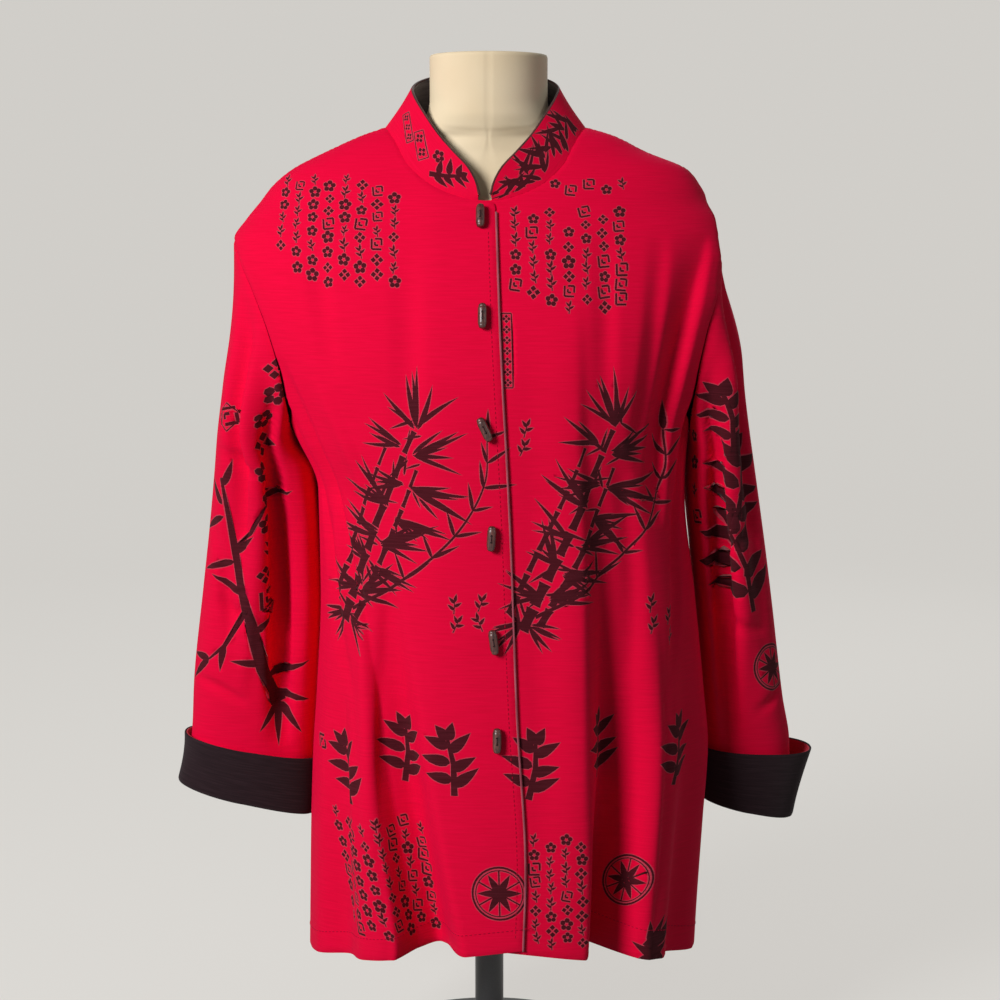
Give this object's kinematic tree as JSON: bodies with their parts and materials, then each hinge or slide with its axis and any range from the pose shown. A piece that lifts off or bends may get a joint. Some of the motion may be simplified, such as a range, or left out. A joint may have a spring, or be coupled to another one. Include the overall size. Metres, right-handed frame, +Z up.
{
  "type": "stand-collar tunic jacket on a limbless dress form with a stand",
  "caption": "Long-sleeved crimson tunic jacket with a stand collar, toggle front and turned-back black cuffs, on a limbless dress form with a short round stand.",
  "frame": {"origin": "centre of the stand's round base, on the floor it stands on", "axes": "+Z up, +X towards the wearer's left (the viewer's right), +Y towards the back, so the front faces -Y"},
  "size_m": [0.6307, 0.3012, 0.991],
  "materials": {
    "red_cloth": "plain-woven cotton and linen, printed with dark ink",
    "black_cloth": "plain-woven black cotton",
    "piping": "dark brown bias-cut piping",
    "toggle_wood": "stained and waxed",
    "form_linen": "tight cream linen cover",
    "stand_metal": "satin dark enamel"
  },
  "bodies": {
    "root": {"front_right": "red_cloth", "front_left": "red_cloth", "back_right": "red_cloth", "back_left": "red_cloth", "sleeve_right": "red_cloth", "turnup_right": "red_cloth", "cuff_right": "black_cloth", "sleeve_left": "red_cloth", "turnup_left": "red_cloth", "cuff_left": "black_cloth", "collar": "red_cloth", "collar_lining": "black_cloth", "piping_collar": "piping", "piping_front": "piping", "toggle_1": "toggle_wood", "toggle_2": "toggle_wood", "toggle_3": "toggle_wood", "toggle_4": "toggle_wood", "toggle_5": "toggle_wood", "toggle_6": "toggle_wood", "form_body": "form_linen", "form_pole": "stand_metal", "form_hub": "stand_metal", "form_base": "stand_metal"}
  },
  "joints": []
}
